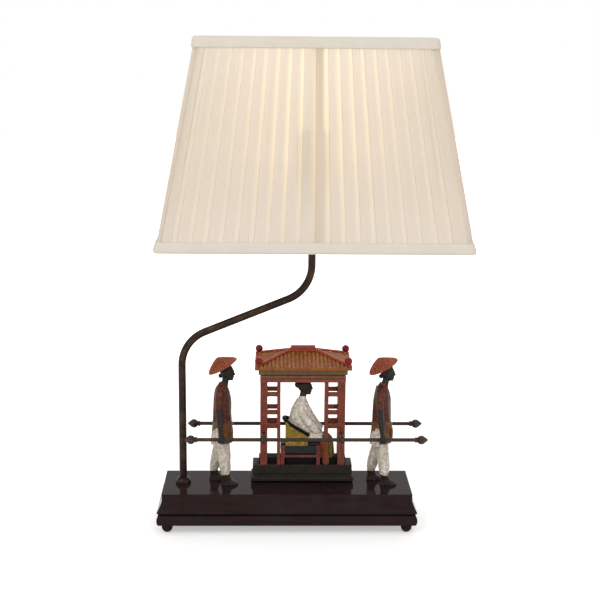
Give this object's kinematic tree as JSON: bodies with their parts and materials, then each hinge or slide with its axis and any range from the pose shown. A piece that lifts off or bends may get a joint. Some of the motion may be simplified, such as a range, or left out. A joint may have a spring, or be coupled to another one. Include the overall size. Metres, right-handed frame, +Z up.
{
  "type": "figural table lamp",
  "caption": "Swan-neck table lamp: bearers carry a roofed palanquin with a seated passenger on a moulded plinth, under a knife-pleated rectangular shade.",
  "frame": {"origin": "on the table, straight under the axis of the lampholder and the shade", "axes": "+X right along the plinth, away from the stem's foot; +Y away from the viewer, towards the cord inlet; +Z up"},
  "size_m": [0.3777, 0.231, 0.61],
  "materials": {
    "dark_lacquer": "glossy dark brown lacquer",
    "cover_board": "dark fibre board",
    "steel": "zinc-plated steel",
    "brass_parts": "antique brass",
    "white_plastic": "moulded plastic",
    "black_plastic": "moulded plastic",
    "bronze": "dark bronze finish",
    "lead_sheath": "flexible sheath",
    "porcelain": "unglazed white porcelain",
    "bulb_glass": "frosted glass",
    "pleated_cloth": "cream knife-pleated cloth",
    "trim_cloth": "cream rolled trim",
    "white_wire": "white coated steel wire",
    "charcoal": "charcoal painted cast resin",
    "black_floor": "black painted cast resin",
    "cabin_red": "red-brown painted cast resin",
    "cornice_olive": "olive painted cast resin",
    "roof_tile": "orange-brown painted cast resin",
    "ridge_salmon": "salmon painted cast resin",
    "knob_red": "red painted cast resin",
    "pole_wood": "dark brown painted cast resin",
    "chair_red": "red painted cast resin",
    "chair_yellow": "olive-yellow painted cast resin",
    "chair_green": "dark green painted cast resin",
    "dark_skin": "dark patinated cast resin",
    "patinated_white": "white cast resin with brown patina",
    "gold_cloth": "olive-gold painted cast resin",
    "boot_leather": "dark painted cast resin",
    "sash_gold": "brown and gold painted cast resin",
    "jacket_brown": "red-brown painted cast resin",
    "hat_straw": "terracotta painted cast resin"
  },
  "bodies": {
    "lamp": {"plinth_top": "dark_lacquer", "plinth_slab": "dark_lacquer", "ball_feet": "dark_lacquer", "base_cover": "cover_board", "cover_screws": "steel", "cord_bush": "brass_parts", "terminal_block": "white_plastic", "stem_tube": "bronze", "stem_collar": "bronze", "stem_washer": "steel", "stem_nut": "steel", "inner_lead": "lead_sheath", "holder_cap": "brass_parts", "holder_shell": "brass_parts", "holder_insert": "porcelain", "shade_ring": "brass_parts", "palanquin_base": "charcoal", "palanquin_floor": "black_floor", "cabin_screen_left": "cabin_red", "cabin_screen_right": "cabin_red", "cornice": "cornice_olive", "roof": "roof_tile", "roof_ridges": "ridge_salmon", "roof_knobs": "knob_red", "pole_front": "pole_wood", "pole_back": "pole_wood", "pole_knobs": "pole_wood", "pole_lugs": "pole_wood", "chair_frame": "chair_red", "chair_rail": "black_floor", "chair_panels": "chair_yellow", "chair_seat": "chair_green", "passenger_head": "dark_skin", "passenger_hands": "dark_skin", "passenger_robe": "patinated_white", "passenger_skirt": "gold_cloth", "left_bearer_boots": "boot_leather", "left_bearer_trousers": "patinated_white", "left_bearer_sash": "sash_gold", "left_bearer_jacket": "jacket_brown", "left_bearer_arms": "dark_skin", "left_bearer_head": "dark_skin", "left_bearer_hat": "hat_straw", "right_bearer_boots": "boot_leather", "right_bearer_trousers": "patinated_white", "right_bearer_sash": "sash_gold", "right_bearer_jacket": "jacket_brown", "right_bearer_arms": "dark_skin", "right_bearer_head": "dark_skin", "right_bearer_hat": "hat_straw"},
    "switch_bar": {"switch_bar": "black_plastic"},
    "bulb": {"bulb_cap": "steel", "bulb_glass": "bulb_glass"},
    "shade": {"shade_cover": "pleated_cloth", "shade_trim_top": "trim_cloth", "shade_trim_bottom": "trim_cloth", "shade_frame": "white_wire", "shade_struts": "white_wire", "shade_fitter": "white_wire"}
  },
  "joints": [
    {"name": "shade_turn", "type": "hinge", "parent": "lamp", "child": "shade", "pos_m": [0, 0, 0.396], "axis": [0, 0, 1], "continuous": true},
    {"name": "bulb_out", "type": "slide", "parent": "lamp", "child": "bulb", "axis": [0, 0, 1], "range_m": [0, 0.035]},
    {"name": "switch_push", "type": "slide", "parent": "lamp", "child": "switch_bar", "axis": [0, 1, 0], "range_m": [0, 0.005]}
  ]
}
